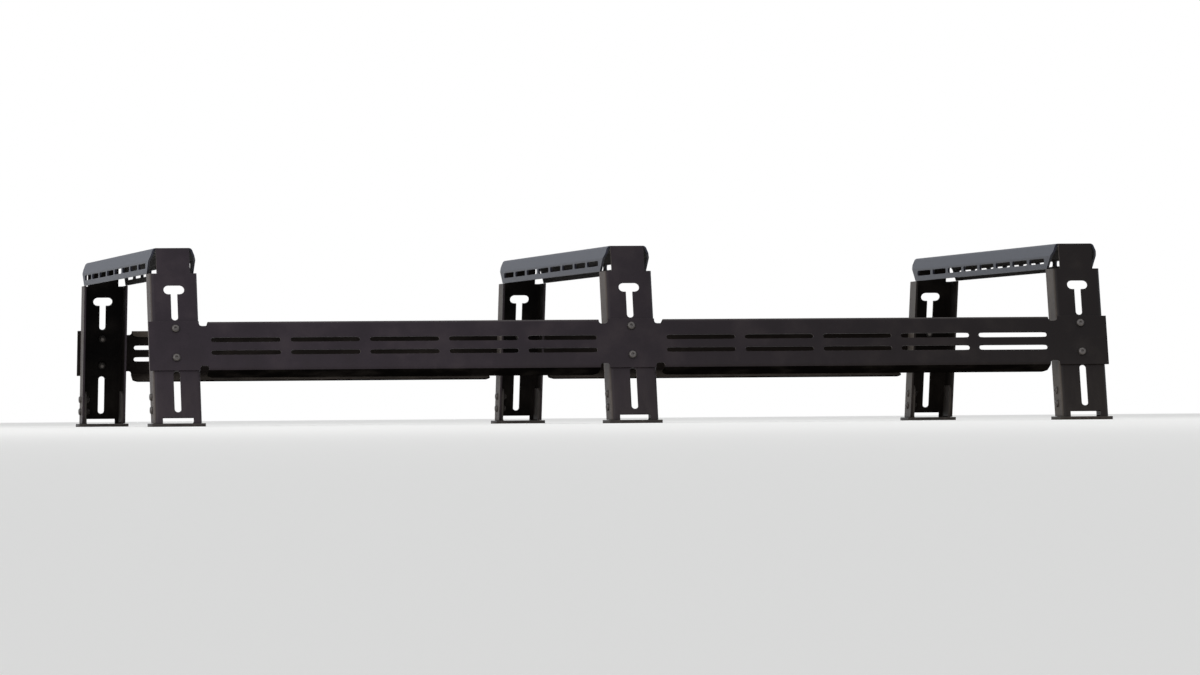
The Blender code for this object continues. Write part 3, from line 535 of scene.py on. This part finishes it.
# The lips' free corners are cut off: past the chamfer's start, their ends draw back by as much as they go on
drawn = LIP_GAP + np.clip(depth - (LIP - LIP_CHAMFER), 0, None)
x = np.where(at_upright, x, nearest + np.sign(x - nearest) * np.maximum(np.abs(x - nearest), drawn))
panel = np.column_stack((x, depth * math.cos(LEAN) + rise * math.sin(LEAN) - RAIL_Y,
                         rise * math.cos(LEAN) - depth * math.sin(LEAN)))
# Lip faces take the lip coat outside and the back coat inside, both painted dark as shade
on_lip = (np.abs(girth[faces]).mean(axis=1) > face_half).astype(np.int32)
for side, way in SIDE_WAY.items():
    sheet_piece(f"{side}_slotted_panel", panel * (1, way, 1), faces, PANEL_WALL, way < 0,
                f"{side}_side_panel", (outer_coat, back_shaded_coat, lip_shaded_coat, back_shaded_coat), on_lip)


# Bolts: twelve button heads hold the panels to the uprights and twelve hold the uprights to the feet.
# Dull zinc-plated steel, turned, with a hexagon socket in the crown and a threaded tail, and a little dusty.
SHANK, SEAT, NUT_TALL = 0.004, 0.0003, 0.0065
FOOT_BOLT_Z = (0.030, 0.054)
LEVELS = ("lower", "upper")
WEB_AXES = ((1, 0, 0), (0, math.sin(LEAN), math.cos(LEAN)), (0, -math.cos(LEAN), math.sin(LEAN)))
FORWARD_AXES = ((0, 1, 0), (0, 0, -1), (-1, 0, 0))


def turned(profile, sides=36):
    """A turned solid. Each row of the profile is a radius, a height and how hexagonal it is, from 0 to 1:
    r(a) = radius * (1 + hex * (cos 30 / cos((a mod 60) - 30) - 1)), with a the angle round in degrees."""
    radius, height, six = (column[:, None] for column in np.array(profile, float).T)
    angle = np.linspace(0, 2 * np.pi, sides, endpoint=False)
    flat = math.cos(math.pi / 6) / np.cos(angle % (math.pi / 3) - math.pi / 6)
    reach = radius * (1 + six * (flat - 1))
    height = np.broadcast_to(height, reach.shape)
    points = np.stack((reach * np.cos(angle), reach * np.sin(angle), height), -1)
    number = np.arange(reach.size).reshape(reach.shape)
    ahead = np.roll(number, -1, axis=1)
    faces = np.stack((number[1:], ahead[1:], ahead[:-1], number[:-1]), -1).reshape(-1, 4)
    return points.reshape(-1, 3), faces


def fastener(name, points, faces, spot, axes, way, metal, stands_for, slot):
    """A small turned piece, set with its own three axes at a spot on the left, or mirrored to the right."""
    placed = (points @ np.array(axes) + spot) * (1, way, 1)
    mesh = bpy.data.meshes.new(name)
    mesh.from_pydata(placed.tolist(), [], (faces[:, ::-1] if way < 0 else faces).tolist())
    merge_points(mesh)
    mesh.shade_smooth()
    mesh.set_sharp_from_angle(angle=math.radians(32))
    mesh.materials.append(metal)
    fixed_piece(name, mesh, stands_for)


def on_web(depth, up):
    """The point of the left middle upright at a depth in from its web's face and a length up it."""
    return np.array((0, depth * math.cos(LEAN) + up * math.sin(LEAN) - RAIL_Y,
                     up * math.cos(LEAN) - depth * math.sin(LEAN)))


DAMP_EARTH_AND_FRONT_LIGHT = (0.11, 0.09, 0.075, 1)


def plated(name, dark, light, roughness, low_dust):
    """Plated steel: two metal tones in a fine mottle, with dust over it that is neither metal nor shiny."""
    material, tree, shader = new_material(name)
    amounts = (("Low Dust", low_dust), ("High Height", 0.6))
    # The dust mask also lightens forward faces as painted light, in the damp earth tone
    dust = node(tree, "ShaderNodeGroup", amounts, node_tree=dust_light_and_shade_group).outputs["Dust"]
    place = node(tree, "ShaderNodeTexCoord").outputs["Object"]
    mottle = noise(tree, place, scale=420.0, detail=3.0)
    tone = mix_colour(tree, remap(tree, mottle, 0.3, 0.7), (*dark, 1), (*light, 1))
    tree.links.new(mix_colour(tree, dust, tone, DAMP_EARTH_AND_FRONT_LIGHT), shader.inputs["Base Color"])
    tree.links.new(math_node(tree, "SUBTRACT", 1.0, dust), shader.inputs["Metallic"])
    uneven = remap(tree, mottle, 0.25, 0.75, roughness - 0.06, roughness + 0.10)
    tree.links.new(uneven, shader.inputs["Roughness"])
    return material


zinc = plated("dull_zinc", dark=(0.078, 0.071, 0.068), light=(0.135, 0.124, 0.117), roughness=0.42,
              low_dust=0.35)


def bolt_profile(head, tall, grip):
    """A button head over its seat, from the socket's floor out over the crown, which falls to the rim on a
    quarter ellipse, then the shank and its tail with three thread grooves, two millimetres past the nut."""
    socket, socket_depth, ease, rim, slope = 0.0026, 0.0024, 0.0003, 0.0012, 0.0034
    groove, half_pitch, thread, tip, past_nut = 0.0005, 0.0006, 0.0050, 0.0031, 0.002
    top = SEAT + tall
    floor = top - socket_depth
    crown = head - slope
    tail = -(grip + NUT_TALL + 2 * SEAT + past_nut)
    rows = [(0, floor, 1), (0.9 * socket, floor, 1), (socket, floor + ease, 1), (socket, top - ease, 1)]
    rows += [(socket + ease, top, 0.4), (crown, top, 0)]
    rows += [(crown + slope * math.sin(turn), top - (tall - rim) * (1 - math.cos(turn)), 0)
             for turn in np.linspace(0.25, 1, 4) * math.pi / 2]
    rows += [(head, SEAT + ease, 0), (head - ease, SEAT, 0), (SHANK, SEAT, 0), (SHANK, tail + thread, 0)]
    rows += [(SHANK - groove * (turn % 2), tail + thread - half_pitch * (turn + 1), 0) for turn in range(7)]
    return rows + [(tip, tail, 0), (0, tail, 0)]


panel_bolt = turned(bolt_profile(head=0.0072, tall=0.005, grip=0.0073))
foot_bolt = turned(bolt_profile(head=0.0070, tall=0.0045, grip=0.0083))
for hoop, hoop_x in HOOP_X.items():
    for side, way in SIDE_WAY.items():
        for level, up, rise in zip(LEVELS, PANEL_BOLT_V, FOOT_BOLT_Z):
            spot = on_web(PANEL_FACE, up) + (hoop_x, 0, 0)
            fastener(f"{hoop}_{side}_{level}_panel_button_bolt", *panel_bolt, spot, WEB_AXES, way, zinc,
                     f"{hoop}_{side}_{level}_panel_bolt", "bolt_steel")
            spot = (hoop_x - WEB_HALF, rise * math.tan(LEAN) + FOOT_BOLT_DEPTH - RAIL_Y, rise)
            fastener(f"{hoop}_{side}_{level}_foot_button_bolt", *foot_bolt, spot, FORWARD_AXES, way, zinc,
                     f"{hoop}_{side}_{level}_foot_bolt", "bolt_steel")


# Nuts: a hexagon nut on each panel bolt, inside the upright. Black-oxidised steel, with chamfered corners
# and a countersunk bore, so that from outside the channels stay dark.
NUT_RADIUS, NUT_FACE, NUT_CHAMFER = 0.0075, 0.0064, 0.0006
NUT_BORE, NUT_SINK, NUT_DEPTH = 0.0042, 0.0005, 0.0108
black_oxide = plated("black_oxide", dark=(0.012, 0.011, 0.011), light=(0.026, 0.024, 0.023), roughness=0.5,
                     low_dust=0.12)
rows = [(NUT_BORE, 0, 0), (NUT_BORE + NUT_SINK, 0, 0), (NUT_FACE, 0, 0), (NUT_RADIUS, NUT_CHAMFER, 1)]
rows += [(NUT_RADIUS, NUT_TALL - NUT_CHAMFER, 1), (NUT_FACE, NUT_TALL, 0), (NUT_BORE + NUT_SINK, NUT_TALL, 0)]
rows += [(NUT_BORE, NUT_TALL - NUT_SINK, 0), (NUT_BORE, NUT_SINK, 0), (NUT_BORE, 0, 0)]
points, faces = turned(rows)
for hoop, hoop_x in HOOP_X.items():
    for side, way in SIDE_WAY.items():
        for level, up in zip(LEVELS, PANEL_BOLT_V):
            spot = on_web(NUT_DEPTH, up) + (hoop_x, 0, 0)
            fastener(f"{hoop}_{side}_{level}_panel_hex_nut", points, faces[:, ::-1], spot, WEB_AXES, way,
                     black_oxide, f"{hoop}_{side}_{level}_panel_nut", "nut_steel")


# Feet: a base plate with bolt slots and two ears with weld nuts, of 4 and 6 mm steel plate, welded and coated
# black. Each keeps its solid's shape, with the plate's sawn edges eased, and is dusty from the wheels.
# The feet's forward faces are lightened by dust and by painted light, and towards the rear they darken as
# painted shade
foot_coat = powder_coat(
    "foot_powder_coat", dark=(0.0090, 0.0076, 0.0082), light=(0.0150, 0.0125, 0.0130),
    rear_shade=(0.0070, 0.0048, 0.0040), roughness=0.52, specular=0.18,
    low_dust=0.22, top_dust=0.30, front_dust_and_light=0.30)
for hoop in HOOP_X:
    for side in SIDE_WAY:
        name = f"{hoop}_{side}_foot"
        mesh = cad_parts[name].data.copy()
        merge_points(mesh, distance=1e-5)
        skin = bmesh.new()
        skin.from_mesh(mesh)
        bmesh.ops.dissolve_limit(skin, angle_limit=0.01, verts=skin.verts, edges=skin.edges)
        skin.to_mesh(mesh)
        skin.free()
        mesh.shade_smooth()
        mesh.materials.clear()
        mesh.materials.append(foot_coat)
        foot = fixed_piece(f"{name}_bracket", mesh, name)
        ease_edges(foot, width=0.0006, least_turn=40)


# Welds: rippled fillets under the coat, where each crossbar's end meets its tongue and each ear its base
# plate. Each is a tube along its seam, swollen and pinched every three millimetres as the torch was dipped.
RIPPLE, RIPPLE_PITCH = 0.13, 0.003
BEAD_TAPER, BEAD_STEP, BEAD_SIDES = 0.002, 0.0006, 10
BAR_BEAD, BAR_BEAD_HALF, BAR_BEAD_DROP, BAR_BEAD_IN = 0.0022, 0.026, 0.0004, 0.0008
EAR_BEAD, EAR_BEAD_Z, EAR_BEAD_DEPTH, EAR_WALL = 0.0020, 0.0062, (0.016, 0.070), 0.004


def weld_bead(name, path, radius):
    """A tube on rings square to its path: r(s) = radius * (1 + ripple * sin(2 pi s / pitch)), drawn in over
    the last two millimetres at each end by the square root of the distance left."""
    path = np.array(path, float)
    along = lengths(path)
    stops = np.linspace(0, along[-1], max(2, round(along[-1] / BEAD_STEP)))
    middle = np.column_stack([np.interp(stops, along, path[:, axis]) for axis in range(3)])
    ahead = np.gradient(middle, axis=0)
    ahead /= np.linalg.norm(ahead, axis=1, keepdims=True)
    beside = np.cross(ahead, (0.31, 0.27, 0.91))
    beside /= np.linalg.norm(beside, axis=1, keepdims=True)
    over = np.cross(ahead, beside)
    taper = np.clip(np.minimum(stops, along[-1] - stops) / BEAD_TAPER, 0.05, 1) ** 0.5
    swell = radius * (1 + RIPPLE * np.sin(2 * np.pi * stops / RIPPLE_PITCH)) * taper
    turn = np.linspace(0, 2 * np.pi, BEAD_SIDES, endpoint=False)[None, :, None]
    ring = np.cos(turn) * beside[:, None] + np.sin(turn) * over[:, None]
    points = (middle[:, None] + swell[:, None, None] * ring).reshape(-1, 3)
    number = np.arange(len(points)).reshape(len(stops), -1)
    onward = np.roll(number, -1, axis=1)
    faces = np.stack((number[:-1], onward[:-1], onward[1:], number[1:]), -1).reshape(-1, 4).tolist()
    faces += [number[0, ::-1].tolist(), number[-1].tolist()]
    mesh = bpy.data.meshes.new(name)
    mesh.from_pydata(points.tolist(), [], faces)
    mesh.shade_smooth()
    # Painted shade: the beads take the near-black inside coat
    mesh.materials.append(inner_shaded_coat)
    fixed_piece(name, mesh)


seam_z = BAR_TOP - BAR_WALL - BAR_BEAD_DROP
seam_y = BAR_BEAD_IN - bar_reach(seam_z)
ear_x = WEB_HALF - CHANNEL_WALL - SEAT - EAR_WALL
for hoop, hoop_x in HOOP_X.items():
    for side, way in SIDE_WAY.items():
        seam = [(hoop_x + x, way * seam_y, seam_z) for x in (-BAR_BEAD_HALF, BAR_BEAD_HALF)]
        weld_bead(f"{hoop}_{side}_crossbar_weld", seam, BAR_BEAD)
        for end, sign in (("front", -1), ("rear", 1)):
            seam = [(hoop_x + sign * ear_x, way * (depth - RAIL_Y), EAR_BEAD_Z) for depth in EAR_BEAD_DEPTH]
            weld_bead(f"{hoop}_{side}_{end}_ear_weld", seam, EAR_BEAD)


# Floor: a plain pale sheet that the feet stand on, wide enough to reach the horizon from every side.
# It is matt, so that it keeps the rack's soft shadow and shows no mirror image.
FLOOR_REACH = 60.0
floor_mesh = bpy.data.meshes.new("floor")
corners = FLOOR_REACH * np.array(((-1, -1, 0), (1, -1, 0), (1, 1, 0), (-1, 1, 0)))
floor_mesh.from_pydata(corners.tolist(), [], [(0, 1, 2, 3)])
floor = bpy.data.objects.new("floor", floor_mesh)
bpy.context.scene.collection.objects.link(floor)
pale, tree, shader = new_material("pale_floor")
shader.inputs["Base Color"].default_value = (0.88, 0.88, 0.87, 1)
shader.inputs["Roughness"].default_value = 0.9
shader.inputs["Specular IOR Level"].default_value = 0.1
floor_mesh.materials.append(pale)


# Camera: at the photograph's station point, some 16.7 m off the rack's left side and as low as its feet.
# A long lens fills the frame with the rack; the camera looks a little up and rolls by half a degree.
LOOK_UP, ROLL, TURN = 0.52, 0.45, -8.155
camera_data = bpy.data.cameras.new("camera")
camera = bpy.data.objects.new("camera", camera_data)
bpy.context.scene.collection.objects.link(camera)
bpy.context.scene.camera = camera
camera_data.sensor_width = 36
camera_data.lens = 262
camera_data.clip_end = 200
camera.location = (-2.32, -16.56, 0.012)
camera.rotation_euler = np.radians((90 + LOOK_UP, ROLL, TURN))


# Light: a broad soft key from the front left, a wide soft box overhead and a pale surround on every side.
# The eye and mirrors see the surround at full strength as a white backdrop, a little cool in mirrors as an
# open sky is; to all other light it gives somewhat less.
def softbox(name, spot, aim, width, length, power):
    """A rectangular lamp at a spot, turned to its aim."""
    data = bpy.data.lights.new(name, "AREA")
    data.shape = "RECTANGLE"
    data.size = width
    data.size_y = length
    data.energy = power
    lamp = bpy.data.objects.new(name, data)
    bpy.context.scene.collection.objects.link(lamp)
    lamp.location = spot
    way = np.array(aim) - np.array(spot)
    tilt = math.atan2(np.hypot(way[0], way[1]), -way[2])
    lamp.rotation_euler = (tilt, 0, math.atan2(way[1], way[0]) - math.pi / 2)


softbox("overhead", spot=(0, 0, 4.0), aim=(0, 0, 0.1), width=5.0, length=4.0, power=35)
softbox("key", spot=(-7.2, -7.2, 5.1), aim=(0, 0, 0.15), width=4.8, length=4.0, power=230)
SURROUND, BACKDROP = 0.78, 1.0
world = bpy.data.worlds.new("surround")
bpy.context.scene.world = world
world.use_nodes = True
tree = world.node_tree
background = tree.nodes["Background"]
ray = node(tree, "ShaderNodeLightPath").outputs
seen = math_node(tree, "MAXIMUM", ray["Is Camera Ray"], ray["Is Glossy Ray"])
seen = math_node(tree, "MAXIMUM", seen, ray["Is Transmission Ray"])
strength = math_node(tree, "MULTIPLY_ADD", seen, BACKDROP - SURROUND, SURROUND)
tree.links.new(strength, background.inputs["Strength"])
sky = mix_colour(tree, ray["Is Glossy Ray"], (1, 1, 1, 1), (0.87, 0.92, 1, 1))
tree.links.new(sky, background.inputs["Color"])
bpy.context.scene.view_settings.view_transform = "Standard"
